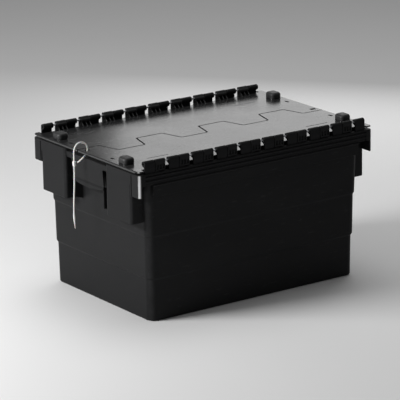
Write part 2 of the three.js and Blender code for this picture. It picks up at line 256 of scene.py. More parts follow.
def object_from(name, mesh_builder):
    """A new object, in metres, from a bmesh drawn in millimetres."""
    bmesh.ops.scale(mesh_builder, vec=(MM, MM, MM), verts=mesh_builder.verts)
    bmesh.ops.recalc_face_normals(mesh_builder, faces=mesh_builder.faces)
    mesh = bpy.data.meshes.new(name)
    mesh_builder.to_mesh(mesh)
    mesh_builder.free()
    obj = bpy.data.objects.new(name, mesh)
    scene.collection.objects.link(obj)
    return obj


def skin(builder, rings, loop=False):
    """Closed surface through rings of points; a loop joins its last ring to its first."""
    rows = [[builder.verts.new(p) for p in ring] for ring in rings]
    count = len(rows[0])
    pairs = list(zip(rows, rows[1:]))
    if loop:
        pairs.append((rows[-1], rows[0]))
    for below, above in pairs:
        for i in range(count):
            j = (i + 1) % count
            builder.faces.new((below[i], below[j], above[j], above[i]))
    if not loop:
        builder.faces.new(list(reversed(rows[0])))
        builder.faces.new(rows[-1])


def inset(outline, depth):
    """A counter-clockwise outline moved inwards by depth."""
    moved = []
    count = len(outline)
    for i, point in enumerate(outline):
        before = (point - outline[i - 1]).normalized()
        after = (outline[(i + 1) % count] - point).normalized()
        inward = Vector((-before.y - after.y, before.x + after.x))
        moved.append(point + inward * (2 * depth / max(inward.length_squared, 0.6)))
    return moved


def round_off(corners, steps=5):
    """Outline through (u, v) or (u, v, radius) corners, each turned into an arc."""
    outline = []
    count = len(corners)
    for i, corner in enumerate(corners):
        point = Vector(corner[:2])
        radius = corner[2] if len(corner) > 2 else 0.0
        if radius <= 0:
            outline.append(point)
            continue
        back = Vector(corners[i - 1][:2]) - point
        ahead = Vector(corners[(i + 1) % count][:2]) - point
        reach_back, reach_ahead = back.length, ahead.length
        back.normalize()
        ahead.normalize()
        half = back.angle(ahead) / 2
        cut = min(radius / math.tan(half), 0.49 * reach_back, 0.49 * reach_ahead)
        radius = cut * math.tan(half)
        centre = point + (back + ahead).normalized() * (radius / math.sin(half))
        start = point + back * cut - centre
        end = point + ahead * cut - centre
        first = math.atan2(start.y, start.x)
        sweep = (math.atan2(end.y, end.x) - first + math.pi) % (2 * math.pi) - math.pi
        for k in range(steps + 1):
            angle = first + sweep * k / steps
            outline.append(centre + Vector((math.cos(angle), math.sin(angle))) * radius)
    return outline


PLACE = {
    "x": lambda u, v, w: (w, u, v),
    "y": lambda u, v, w: (u, w, v),
    "z": lambda u, v, w: (u, v, w),
}


def prism(builder, axis, outline, low, high, edge=0.8, steps=2):
    """Prism along an axis from low to high, with its rims rounded by edge."""
    place = PLACE[axis]
    edge = min(edge, 0.49 * (high - low))
    levels = []
    for k in range(steps + 1):
        angle = math.pi / 2 * k / steps
        levels.append((edge * (1 - math.sin(angle)), low + edge * (1 - math.cos(angle))))
    levels += [(depth, low + high - at) for depth, at in reversed(levels)]
    if edge <= 0:
        levels = [(0, low), (0, high)]
    rings = [[place(p.x, p.y, at) for p in inset(outline, depth)] for depth, at in levels]
    skin(builder, rings)


def block(builder, x, y, z, edge=0.4, corner=0.0):
    """Box with rounded rims, given as (low, high) pairs; corner rounds its upright edges."""
    corners = [
        (x[0], y[0], corner), (x[1], y[0], corner), (x[1], y[1], corner), (x[0], y[1], corner),
    ]
    prism(builder, "z", round_off(corners), z[0], z[1], edge, 1)


def rib(builder, start, end, z, thick=RIB_THICK):
    """Upright rib between two points seen from above."""
    a, b = Vector(start), Vector(end)
    side = (b - a).normalized().orthogonal() * (thick / 2)
    outline = [a - side, b - side, b + side, a + side]
    prism(builder, "z", outline, z[0], z[1], 0)


def mirrored(builder, *axes):
    """Adds copies of everything so far, mirrored about the planes across the given axes."""
    for axis in axes:
        whole = builder.verts[:] + builder.edges[:] + builder.faces[:]
        copy = bmesh.ops.duplicate(builder, geom=whole)["geom"]
        flip = [1.0, 1.0, 1.0]
        flip["xyz".index(axis)] = -1.0
        verts = [e for e in copy if isinstance(e, bmesh.types.BMVert)]
        bmesh.ops.scale(builder, vec=flip, verts=verts)


def combine(base, tool, operation):
    """Joins, cuts or meets base with tool, and removes tool."""
    modifier = base.modifiers.new("combine", "BOOLEAN")
    modifier.operation = operation
    modifier.solver = "MANIFOLD"
    modifier.object = tool
    graph = bpy.context.evaluated_depsgraph_get()
    mesh = bpy.data.meshes.new_from_object(base.evaluated_get(graph))
    base.modifiers.clear()
    old = base.data
    base.data = mesh
    bpy.data.meshes.remove(old)
    gone = tool.data
    bpy.data.objects.remove(tool)
    bpy.data.meshes.remove(gone)
    return base


def smooth(obj, angle=38):
    """Soft shading with sharp creases, so moulded edges catch the light."""
    mesh = obj.data
    mesh.polygons.foreach_set("use_smooth", [True] * len(mesh.polygons))
    mesh.set_sharp_from_angle(angle=math.radians(angle))
    normals = obj.modifiers.new("normals", "WEIGHTED_NORMAL")
    normals.keep_sharp = True
    normals.weight = 80


def ring(half_x, half_y, radius, z):
    """Rounded rectangle of points at height z."""
    points = []
    for k, (sx, sy) in enumerate(((1, 1), (-1, 1), (-1, -1), (1, -1))):
        for i in range(CORNER_STEPS + 1):
            angle = math.pi / 2 * (k + i / CORNER_STEPS)
            points.append((
                sx * (half_x - radius) + radius * math.cos(angle),
                sy * (half_y - radius) + radius * math.sin(angle),
                z,
            ))
    return points


def turned_copy(obj):
    """A second object of the same shape, turned half round the Z axis."""
    other = obj.copy()
    other.data = obj.data.copy()
    scene.collection.objects.link(other)
    other.data.transform(Matrix.Rotation(math.pi, 4, "Z"))
    return other


def circle(u, v, radius, sides=24):
    """Outline of a round section about (u, v)."""
    return [
        Vector((u + radius * math.cos(a), v + radius * math.sin(a)))
        for a in [2 * math.pi * k / sides for k in range(sides)]
    ]


# ---- Tub ---------------------------------------------------------------------

# Share of a tier step's outward move against the share of its rise.
STEP_CURVE = [(0.0, 0.0), (0.2, 0.06), (0.4, 0.28), (0.6, 0.72), (0.8, 0.94), (1.0, 1.0)]
STRAIGHT = [(0.0, 0.0), (1.0, 1.0)]

# A stretch of wall that rises less than this is a tier step.
STEP_RISE = 10

# Underside: height, half length, half width, corner radius.
FOOT_RINGS = [
    (1.2, 238, 154, 10), (1.2, 246, 162, 12), (0.0, 247.5, 163.5, 12),
    (0.0, 260.2, 176.2, 16), (0.5, 262.2, 178.2, 17), (1.5, 263.4, 179.4, 17.5),
]

# Fillet round the inside floor: lift above the floor, move from the wall.
FLOOR_CURVE = [(0.0, -7.5), (0.6, -4.6), (2.0, -2.2), (4.2, -0.7), (7.0, 0.0)]

# Rounding of the inside mouth: drop below the rim, move into the wall.
MOUTH_CURVE = [(1.6, 0.0), (0.9, 0.2), (0.3, 0.8), (0.0, 1.6), (-8.0, 1.6)]

# Depth in from the rim's edge of the flat top, before the inside is cut out.
RIM_REACH = 36.0


def wall_profile():
    """Half sizes of the outside wall up its height, with each tier step rounded."""
    profile = []
    for low, high in zip(WALL_LEVELS, WALL_LEVELS[1:]):
        curve = STEP_CURVE if high[0] - low[0] < STEP_RISE else STRAIGHT
        for t, s in curve[:-1]:
            z = low[0] + (high[0] - low[0]) * t
            profile.append((z, low[1] + (high[1] - low[1]) * s, low[2] + (high[2] - low[2]) * s))
    profile.append(WALL_LEVELS[-1])
    return profile


def tub_outside():
    """Solid shape of the tub, from its foot up to the rim."""
    builder = bmesh.new()
    rings = [ring(x, y, radius, z) for z, x, y, radius in FOOT_RINGS]
    rings += [ring(x, y, TUB_CORNER, min(z, RIM_TOP - 0.8)) for z, x, y in wall_profile()]
    skin(builder, rings)
    return object_from("tub_shell", builder)


def tub_inside():
    """Hollow that is cut out of the tub, with a filleted floor and a rounded mouth."""
    builder = bmesh.new()
    radius = TUB_CORNER - WALL
    first = WALL_LEVELS[0]
    rings = [
        ring(first[1] - WALL + shift, first[2] - WALL + shift, radius + shift, FLOOR_TOP + lift)
        for lift, shift in FLOOR_CURVE
    ]
    for z, x, y in wall_profile()[1:-1]:
        rings.append(ring(x - WALL, y - WALL, radius, z))
    z, x, y = WALL_LEVELS[-1]
    for drop, flare in MOUTH_CURVE:
        rings.append(ring(x - WALL + flare, y - WALL + flare, radius + flare, z - drop))
    skin(builder, rings)
    return object_from("tub_inside", builder)


def rim():
    """Flat rim with a rounded outer edge and the skirt below it."""
    builder = bmesh.new()
    sections = [
        (0.0, SKIRT_BOTTOM + 0.5), (0.0, RIM_TOP - 1.6), (0.25, RIM_TOP - 0.8),
        (0.8, RIM_TOP - 0.25), (1.6, RIM_TOP), (RIM_REACH, RIM_TOP), (RIM_REACH, FLANGE_UNDER),
        (WALL, FLANGE_UNDER), (WALL, SKIRT_BOTTOM), (0.5, SKIRT_BOTTOM),
    ]
    rings = []
    for depth, z in sections:
        radius = max(RIM_CORNER - depth, 2.0) if depth < RIM_REACH else RIM_CORNER
        rings.append(ring(HALF_LENGTH - depth, HALF_WIDTH - depth, radius, z))
    skin(builder, rings, loop=True)
    return object_from("rim", builder)


def end_blocks():
    """Hollow blocks of the end aprons, each with its cells open below."""
    builder = bmesh.new()
    outline = round_off([
        (BLOCK_ROOT, BLOCK_INNER), (HALF_LENGTH, BLOCK_INNER, BLOCK_CORNER),
        (HALF_LENGTH, BLOCK_OUTER, BLOCK_CORNER), (BLOCK_ROOT, BLOCK_OUTER),
    ], 7)
    prism(builder, "z", outline, BLOCK_BOTTOM, RIM_TOP, 1.1, 3)
    mirrored(builder, "x", "y")
    blocks = object_from("blocks", builder)
    cells = bmesh.new()
    outer = HALF_LENGTH - WALL
    web = (BLOCK_INNER + BLOCK_OUTER) / 2
    for low, high in (
        (BLOCK_INNER + WALL, web - WALL / 2), (web + WALL / 2, BLOCK_OUTER - WALL),
    ):
        cell = round_off([
            (CELL_ROOT, low), (outer, low, CELL_CORNER), (outer, high, CELL_CORNER),
            (CELL_ROOT, high),
        ], 4)
        prism(cells, "z", cell, BLOCK_BOTTOM - 5, FLANGE_UNDER, 0)
    mirrored(cells, "x", "y")
    return combine(blocks, object_from("cells", cells), "DIFFERENCE")


def corner_strips():
    """Strips that close the corners of the end aprons, round the rim's own corner."""
    builder = bmesh.new()
    inner = HALF_LENGTH - STRIP_DEPTH
    centre = Vector((HALF_LENGTH - RIM_CORNER, HALF_WIDTH - RIM_CORNER))
    sweep = math.acos((RIM_CORNER - STRIP_DEPTH) / RIM_CORNER)
    outline = [Vector((inner, BLOCK_OUTER - 2)), Vector((HALF_LENGTH, BLOCK_OUTER - 2))]
    outline += [
        centre + RIM_CORNER * Vector((math.cos(sweep * k / 12), math.sin(sweep * k / 12)))
        for k in range(13)
    ]
    prism(builder, "z", outline, STRIP_BOTTOM, RIM_TOP - 0.9, 0.9, 2)
    mirrored(builder, "x", "y")
    return object_from("strips", builder)


def strip_grooves():
    """Upright grooves that part each block from the corner strip beside it."""
    builder = bmesh.new()
    x = (HALF_LENGTH - GROOVE_DEPTH, HALF_LENGTH + PAST)
    y = (BLOCK_OUTER, BLOCK_OUTER + GROOVE_WIDTH)
    block(builder, x, y, (STRIP_BOTTOM - PAST, RIM_TOP - 3), 0)
    mirrored(builder, "x", "y")
    return object_from("grooves", builder)


def ridged_outline(bottom, thick, ridges):
    """Section of a ridged face, from its bottom up to the rim."""
    face = HALF_WIDTH - RIDGE_PROUD
    corners = [(face - thick, bottom), (face, bottom, 0.8)]
    for z in ridges:
        corners += [
            (face, z - RIDGE_ROOT_HALF, 0.5), (HALF_WIDTH, z - RIDGE_CREST_HALF, 0.7),
            (HALF_WIDTH, z + RIDGE_CREST_HALF, 0.7), (face, z + RIDGE_ROOT_HALF, 0.5),
        ]
    corners += [(face, RIM_TOP - 1.2), (face - thick, RIM_TOP - 1.2)]
    return round_off(corners, 3)


def rails():
    """Ridged hinge rails down the long sides."""
    builder = bmesh.new()
    outline = ridged_outline(RAIL_BOTTOM, WALL, RAIL_RIDGES[::-1])
    prism(builder, "x", outline, -RAIL_HALF, RAIL_HALF, 0.5, 1)
    mirrored(builder, "y")
    return object_from("rails", builder)


def ridge_ends():
    """The upper ridges carried on over the skirt, towards the corners."""
    builder = bmesh.new()
    outline = ridged_outline(SKIRT_BOTTOM + 0.4, 1, RAIL_RIDGES[1::-1])
    prism(builder, "x", outline, RAIL_HALF - 1, RECESS_HALF + 0.5, 0)
    mirrored(builder, "x", "y")
    return object_from("ridge_ends", builder)


def rail_webs():
    """Webs between the wall and the rails, under the inner rim knuckles and at both ends."""
    builder = bmesh.new()
    for x in RIM_STATIONS[1:-1] + [WALL / 2 - RAIL_HALF, RAIL_HALF - WALL / 2]:
        span = (x - WALL / 2, x + WALL / 2)
        block(builder, span, (WEB_INNER, HALF_WIDTH - WALL), (RAIL_BOTTOM + 0.6, RIM_TOP - 1), 0)
    mirrored(builder, "y")
    return object_from("rail_webs", builder)


def handle_panels():
    """Leaning handle panels, each with a rolled lower lip that sags in the middle."""
    top = RIM_TOP - NOTCH_DEPTH
    shelf = top - (RIM_TOP - FLANGE_UNDER)
    root = WALL_LEVELS[-2][1]
    outer = HALF_LENGTH - PANEL_TOP_INSET
    lip = HALF_LENGTH - PANEL_LIP_INSET - 1
    proud = lip + PANEL_LIP_PROUD
    low = PANEL_LIP - PANEL_SAG - 4
    profile = round_off([
        (root, top), (root, shelf), (outer - WALL - 0.4, shelf, 2.0),
        (lip - WALL, low + 8, 3.0), (lip - WALL, low), (proud, low),
        (proud, low + 12, 1.4), (lip + 0.6, low + 16, 3.0), (outer, top, 1.2),
    ], 4)
    slab = bmesh.new()
    prism(slab, "y", profile, -BLOCK_INNER - 1.5, BLOCK_INNER + 1.5, 0)
    panel = object_from("panel", slab)
    sag_radius = (SLIT_INNER ** 2 + PANEL_SAG ** 2) / (2 * PANEL_SAG)
    sweep = math.asin(SLIT_INNER / sag_radius)
    centre_z = PANEL_LIP - PANEL_SAG + sag_radius
    arc = []
    for k in range(17):
        angle = sweep * (k / 8 - 1)
        arc.append((sag_radius * math.sin(angle), centre_z - sag_radius * math.cos(angle)))
    side, above = BLOCK_INNER + 4, RIM_TOP + 3
    front = [(-side, above), (-side, SLIT_TOP), (-SLIT_INNER, SLIT_TOP, 4.0)] + arc
    front += [(SLIT_INNER, SLIT_TOP, 4.0), (side, SLIT_TOP), (side, above)]
    gate = bmesh.new()
    prism(gate, "x", round_off(front, 4), 250, HALF_LENGTH + 5, 0)
    combine(panel, object_from("gate", gate), "INTERSECT")
    return combine(panel, turned_copy(panel), "UNION")


def panel_ribs():
    """Slim ribs that run down the wall from both ends of each handle panel."""
    builder = bmesh.new()
    wall = WALL_LEVELS[-2][1] - 2
    lip = HALF_LENGTH - PANEL_LIP_INSET - 1
    high, low = PANEL_LIP + PANEL_RIB_RISE, PANEL_LIP - PANEL_RIB_RISE
    outline = [Vector(corner) for corner in (
        (wall, high), (lip, high), (lip, low), PANEL_RIB_FOOT, (wall, BLOCK_BOTTOM + 1),
    )]
    prism(builder, "y", outline, SLIT_INNER - PANEL_RIB_THICK, SLIT_INNER, 0.5, 1)
    mirrored(builder, "x", "y")
    return object_from("panel_ribs", builder)


def rim_knuckles():
    """Barrels on the rim that the hinge rods pass through, on thin outer feet."""
    builder = bmesh.new()
    centre = Vector((AXIS_Y, AXIS_Z))
    arc = [
        centre + Vector((math.cos(a), math.sin(a))) * BARREL
        for a in [math.radians(BARREL_SWEEP * k / 18) for k in range(19)]
    ]
    foot = AXIS_Y + KNUCKLE_FOOT
    outline = [Vector((foot, RIM_TOP - 1)), Vector((AXIS_Y + BARREL, RIM_TOP - 1))]
    outline += arc + [Vector((foot, AXIS_Z - KNUCKLE_NECK))]
    for x in RIM_STATIONS:
        prism(builder, "x", outline, x - RIM_KNUCKLE / 2, x + RIM_KNUCKLE / 2, 0.9, 2)
    mirrored(builder, "y")
    return object_from("knuckles", builder)


def bores():
    """Holes that the hinge rods turn in."""
    builder = bmesh.new()
    prism(builder, "x", circle(AXIS_Y, AXIS_Z, BORE), -HALF_LENGTH, HALF_LENGTH, 0)
    mirrored(builder, "y")
    return object_from("bores", builder)


def end_notches():
    """Clears the rim between the blocks, where the handle panels stand."""
    builder = bmesh.new()
    reach = BLOCK_INNER + BLOCK_CORNER + 1
    x = (WALL_LEVELS[-1][1], HALF_LENGTH + 6)
    block(builder, x, (-reach, reach), (NOTCH_BOTTOM, RIM_TOP + 4), 0)
    mirrored(builder, "x")
    return object_from("notches", builder)


def rail_recesses():
    """Clears the skirt where the ridged rails stand."""
    builder = bmesh.new()
    y = (HALF_WIDTH - RIDGE_PROUD, HALF_WIDTH + 4)
    block(builder, (-RECESS_HALF, RECESS_HALF), y, (RECESS_BOTTOM, RIM_TOP - 3.0), 0)
    mirrored(builder, "y")
    return object_from("recesses", builder)


def build_tub():
    """The tub as one moulding."""
    tub = tub_outside()
    combine(tub, rim(), "UNION")
    combine(tub, end_notches(), "DIFFERENCE")
    combine(tub, rail_recesses(), "DIFFERENCE")
    for part in (
        end_blocks, corner_strips, rails, ridge_ends, rail_webs, handle_panels, panel_ribs,
    ):
        combine(tub, part(), "UNION")
    combine(tub, strip_grooves(), "DIFFERENCE")
    combine(tub, tub_inside(), "DIFFERENCE")
    combine(tub, rim_knuckles(), "UNION")
    combine(tub, bores(), "DIFFERENCE")
    return tub


# ---- Lid leaf, hinged on the +Y side -------------------------------------------

def seam_corners():
    """Edge of the leaf along the zigzag seam, half the gap inside it.

    It runs from -X to +X, and past both ends of the leaf.
    """
    gap = SEAM_GAP / 2
    corners = [(-HALF_LENGTH - SEAM_OVERRUN, TOOTH_HEIGHT + gap)]
    for k in range(TOOTH_COUNT):
        falling = k % 2 == 0
        before = TOOTH_HEIGHT if falling else -TOOTH_HEIGHT
        shift = gap if falling else -gap
        x = (k - (TOOTH_COUNT - 1) / 2) * TOOTH_PITCH + shift
        outward, inward = TOOTH_ROUND, TOOTH_ROUND + SEAM_GAP
        first, second = (inward, outward) if falling else (outward, inward)
        corners.append((x - TOOTH_FLANK / 2, before + gap, first))
        corners.append((x + TOOTH_FLANK / 2, gap - before, second))
    corners.append((HALF_LENGTH + SEAM_OVERRUN, gap - TOOTH_HEIGHT))
    return corners


def lid_plate():
    """Plate of a leaf, with rounded outer edges and a crisp edge along the seam."""
    builder = bmesh.new()
    past_seam = -TOOTH_HEIGHT - 20
    corners = [
        (-HALF_LENGTH, past_seam, LID_CORNER), (HALF_LENGTH, past_seam, LID_CORNER),
        (HALF_LENGTH, TAB_Y, RIM_CORNER),
        (TAB_X, TAB_Y, LID_CORNER), (TAB_X, LID_INNER_EDGE, NOTCH_CORNER),
        (-TAB_X, LID_INNER_EDGE, NOTCH_CORNER), (-TAB_X, TAB_Y, LID_CORNER),
        (-HALF_LENGTH, TAB_Y, RIM_CORNER),
    ]
    prism(builder, "z", round_off(corners, 5), LID_UNDER, LID_TOP, LID_EDGE, 3)
    beyond = bmesh.new()
    end, low = HALF_LENGTH + SEAM_OVERRUN, past_seam - SEAM_OVERRUN
    outline = round_off(list(reversed(seam_corners() + [(end, low), (-end, low)])), 5)
    prism(beyond, "z", outline, LID_UNDER - 1, LID_TOP + 1, 0)
    return combine(object_from("lid_plate", builder), object_from("beyond", beyond), "DIFFERENCE")


def stacking_lugs():
    """Rounded lugs that the tote above stands between."""
    builder = bmesh.new()
    lug = round_off([(x, y, LUG_CORNER) for x, y in (
        (LUG_X[0], LUG_Y[0]), (LUG_X[1], LUG_Y[0]), (LUG_X[1], LUG_Y[1]), (LUG_X[0], LUG_Y[1]),
    )], 6)
    prism(builder, "z", lug, LUG_ROOT, LUG_TOP, LUG_EDGE, 5)
    mirrored(builder, "x")
    return object_from("lugs", builder)


def lug_hollows():
    """Moulded hollows under the lugs, with crossed ribs left standing."""
    builder = bmesh.new()
    x0, x1 = LUG_X[0] + LUG_WALL, LUG_X[1] - LUG_WALL
    y0, y1 = LUG_Y[0] + LUG_WALL, LUG_Y[1] - LUG_WALL
    centre = Vector(((x0 + x1) / 2, (y0 + y1) / 2))
    corners = [Vector((x0, y0)), Vector((x1, y0)), Vector((x1, y1)), Vector((x0, y1))]
    for a, b in zip(corners, corners[1:] + corners[:1]):
        left, right, tip = inset([a, b, centre], LUG_WEB_HALF)
        wedge = round_off([(*left, HOLLOW_CORNER), (*right, HOLLOW_CORNER), tuple(tip)], 4)
        prism(builder, "z", wedge, LID_UNDER - 1, LUG_TOP - LUG_WALL, 0)
    mirrored(builder, "x")
    return object_from("hollows", builder)


def lid_slots():
    """Small slots through the plate at its ends, for ties and for the seal."""
    builder = bmesh.new()
    through = (LID_UNDER - PAST, LID_TOP + PAST)
    for x, y in TIE_SLOTS:
        block(builder, x, y, through, 0, 2.9)
    block(builder, *SEAL_SLOT, through, 0, 2.5)
    return object_from("slots", builder)


def hinge_walls():
    """Wall segments that carry the lid's barrels, each with a flat top."""
    builder = bmesh.new()
    outer = AXIS_Y + BARREL
    inner = outer - SEGMENT_THICK
    profile = round_off([
        (LID_INNER_EDGE - 3, LID_UNDER + 0.1), (inner, LID_UNDER + 0.1),
        (inner, SEGMENT_FOOT), (outer, SEGMENT_FOOT, 0.8),
        (outer, AXIS_Z + BARREL, 3.0), (AXIS_Y - 0.5, AXIS_Z + BARREL, 2.5),
        (AXIS_Y - BARREL, AXIS_Z + 1.5, 3.5), (AXIS_Y - BARREL, AXIS_Z - 4, 3.0),
        (inner, AXIS_Z - 6.5, 2.0), (inner, LID_TOP - 0.1, 1.0),
        (LID_INNER_EDGE - 3, LID_TOP - 0.1),
    ], 4)
    for x in LID_STATIONS:
        prism(builder, "x", profile, x - LID_KNUCKLE / 2, x + LID_KNUCKLE / 2, 0.7, 2)
    return object_from("hinge_walls", builder)


def hinge_cells():
    """Moulded cells sunk into the outer face of each wall segment."""
    builder = bmesh.new()
    outer = AXIS_Y + BARREL
    depth, height = (outer - CELL_DEPTH, outer + PAST), (SEGMENT_FOOT + 3, AXIS_Z - 4.5)
    for x in LID_STATIONS:
        for shift in (-CELL_PITCH, 0.0, CELL_PITCH):
            span = (x + shift - CELL_HALF, x + shift + CELL_HALF)
            block(builder, span, depth, height, 0)
    return object_from("cells", builder)


def hinge_gussets():
    """Thin gussets between the plate and the barrels of each wall segment."""
    builder = bmesh.new()
    profile = round_off([
        (LID_INNER_EDGE - 10, LID_TOP - 1.0), (AXIS_Y + 4, LID_TOP - 1.0),
        (AXIS_Y + 4, AXIS_Z - 3), (AXIS_Y - 4.5, AXIS_Z - 3), (AXIS_Y - 6.5, LID_TOP + 6, 3.0),
    ], 3)
    side = LID_KNUCKLE / 2 - GUSSET_INSET
    for x in LID_STATIONS:
        for shift in (-side, 0.0, side):
            low, high = x + shift - GUSSET_HALF, x + shift + GUSSET_HALF
            prism(builder, "x", profile, low, high, 0.3, 1)
    return object_from("gussets", builder)


def end_lips():
    """Short lips that hang from the ends of the plate."""
    builder = bmesh.new()
    gap = SEAM_GAP / 2
    for side, y0 in ((1, gap - TOOTH_HEIGHT), (-1, gap + TOOTH_HEIGHT)):
        x = sorted((side * (HALF_LENGTH - WALL), side * HALF_LENGTH))
        block(builder, x, (y0 + 0.4, LID_INNER_EDGE), (LID_LIP_BOTTOM, LID_TOP - 0.8), 0.5)
    return object_from("end_lips", builder)


def relief_lines():
    """Faint raised lines moulded on the top."""
    builder = bmesh.new()
    for span in RELIEF_SPANS:
        block(builder, span, RELIEF_Y, (LID_TOP - 0.5, LID_TOP + RELIEF_HEIGHT), 0.3)
    return object_from("relief", builder)


def lid_long_ribs():
    """Ribs along the leaf, and short ones inside its end lips."""
    builder = bmesh.new()
    root = LID_UNDER + 0.8
    for y in RIB_LINES:
        rib(builder, (-RIB_HALF_LENGTH, y), (RIB_HALF_LENGTH, y), (RIB_BOTTOM, root))
    start, end = (-RIB_HALF_LENGTH, MIDDLE_RIB), (RIB_HALF_LENGTH, MIDDLE_RIB)
    rib(builder, start, end, (RIB_BOTTOM + 1.5, root))
    shallow = (LID_LIP_BOTTOM + 0.8, root)
    for x in (-END_RIB_X, END_RIB_X):
        for y0, y1 in END_RIB_SPANS:
            rib(builder, (x, y0), (x, y1), shallow, END_RIB_THICK)
    return object_from("long_ribs", builder)


def lid_cross_ribs():
    """Slightly splayed pairs of cross ribs at the teeth, with end ribs."""
    builder = bmesh.new()
    z = (RIB_BOTTOM + 0.7, LID_UNDER + 0.7)
    for k in range(TOOTH_COUNT):
        x = (k - (TOOTH_COUNT - 1) / 2) * TOOTH_PITCH
        for side in (-1, 1):
            start, end = [x + side * splay for splay in SPLAY]
            rib(builder, (start, RIB_LINES[-1]), (end, RIB_LINES[0]), z)
    for side in (-1, 1):
        x = side * RIB_HALF_LENGTH
        rib(builder, (x, RIB_LINES[-1]), (x, RIB_LINES[0]), z)
    return object_from("cross_ribs", builder)


def lid_short_ribs():
    """Close short ribs along the hinge line, in the middle band and along the ends."""
    builder = bmesh.new()
    z = (RIB_BOTTOM + 1.4, LID_UNDER + 0.6)
    half = RIB_HALF_LENGTH - FINE_RIB_INSET
    for k in range(FINE_RIB_COUNT + 1):
        x = -half + 2 * half * k / FINE_RIB_COUNT
        for y0, y1 in ((RIB_LINES[0], LID_INNER_EDGE - 3), (RIB_LINES[2], MIDDLE_RIB)):
            rib(builder, (x, y0), (x, y1), z, FINE_RIB_THICK)
    shallow = (LID_LIP_BOTTOM + 1.2, LID_UNDER + 0.6)
    for side in (-1, 1):
        x0, x1 = side * RIB_HALF_LENGTH, side * END_RIB_REACH
        for y in END_RIB_LINES:
            rib(builder, (x0, y), (x1, y), shallow, FINE_RIB_THICK)
    return object_from("short_ribs", builder)


def tooth_pads():
    """Thickened undersides of the teeth."""
    builder = bmesh.new()
    tip, root = -TOOTH_HEIGHT + PAD_INSET, RIB_LINES[-1] + 1
    for k in range(1, TOOTH_COUNT + 1, 2):
        x = (k - TOOTH_COUNT / 2) * TOOTH_PITCH
        last = k == TOOTH_COUNT
        low, high = x - PAD_HALF, RIB_HALF_LENGTH if last else x + PAD_HALF
        corners = [
            (low, tip, PAD_CORNER), (high, tip, PAD_CORNER),
            (high if last else high + PAD_FLARE, root), (low - PAD_FLARE, root),
        ]
        prism(builder, "z", round_off(corners, 4), RIB_BOTTOM + 1, LID_UNDER + 0.5, 0.6, 1)
    return object_from("pads", builder)


def build_leaf():
    """One leaf of the lid as one moulding."""
    leaf = lid_plate()
    for part in (
        stacking_lugs, end_lips, hinge_walls, hinge_gussets, relief_lines,
        lid_long_ribs, lid_cross_ribs, lid_short_ribs, tooth_pads,
    ):
        combine(leaf, part(), "UNION")
    for part in (lug_hollows, lid_slots, hinge_cells, bores):
        combine(leaf, part(), "DIFFERENCE")
    return leaf


# ---- Rods and seal -------------------------------------------------------------

def build_rod(side):
    """Hinge rod on the +Y side (1) or the -Y side (-1)."""
    builder = bmesh.new()
    section = circle(side * AXIS_Y, AXIS_Z, (ROD_HIGH.z - ROD_LOW.z) / 2)
    prism(builder, "x", section, ROD_LOW.x, ROD_HIGH.x, 0.6, 3)
    return object_from("rod", builder)


def route_points(controls, steps):
    """Centripetal Catmull-Rom line through the control points, in metres."""
    knots = [Vector(c) * MM for c in controls]
    knots = [2 * knots[0] - knots[1]] + knots + [2 * knots[-1] - knots[-2]]
    line = []
    for p0, p1, p2, p3 in zip(knots, knots[1:], knots[2:], knots[3:]):
        t1 = (p1 - p0).length ** 0.5
        t2 = t1 + (p2 - p1).length ** 0.5
        t3 = t2 + (p3 - p2).length ** 0.5
        for k in range(steps):
            t = t1 + (t2 - t1) * k / steps
            a1 = p0 * ((t1 - t) / t1) + p1 * (t / t1)
            a2 = p1 * ((t2 - t) / (t2 - t1)) + p2 * ((t - t1) / (t2 - t1))
            a3 = p2 * ((t3 - t) / (t3 - t2)) + p3 * ((t - t2) / (t3 - t2))
            b1 = a1 * ((t2 - t) / t2) + a2 * (t / t2)
            b2 = a2 * ((t3 - t) / (t3 - t1)) + a3 * ((t - t1) / (t3 - t1))
            line.append(b1 * ((t2 - t) / (t2 - t1)) + b2 * ((t - t1) / (t2 - t1)))
    line.append(knots[-2])
    return line


def tail_radius(height, tip):
    """Share of the strap's radius at a height on its tail, whose tip is at height tip."""
    rise = min(1.0, (height - tip) / TAIL_POINT)
    grip = max(0.0, 1 - abs(height - TAIL_WIDEST) / TAIL_GRIP)
    return 0.3 + 0.7 * rise + 0.45 * grip


def build_strap():
    """The strap, with the points of its centre line and its length."""
    line = route_points(STRAP_ROUTE, 6)
    data = bpy.data.curves.new("seal_strap_look", "CURVE")
    data.dimensions = "3D"
    data.bevel_depth = STRAP_RADIUS * MM
    data.bevel_resolution = 4
    data.use_fill_caps = True
    spline = data.splines.new("POLY")
    spline.points.add(len(line) - 1)
    for place, point in zip(spline.points, line):
        place.co = (*point, 1.0)
    tail_tip = line[-1].z / MM
    for place in spline.points:
        height = place.co.z / MM
        if height < TAIL_WIDENS:
            place.radius = tail_radius(height, tail_tip)
    strap = bpy.data.objects.new("seal_strap_look", data)
    scene.collection.objects.link(strap)
    length = sum((b - a).length for a, b in zip(line, line[1:]))
    return strap, line, length


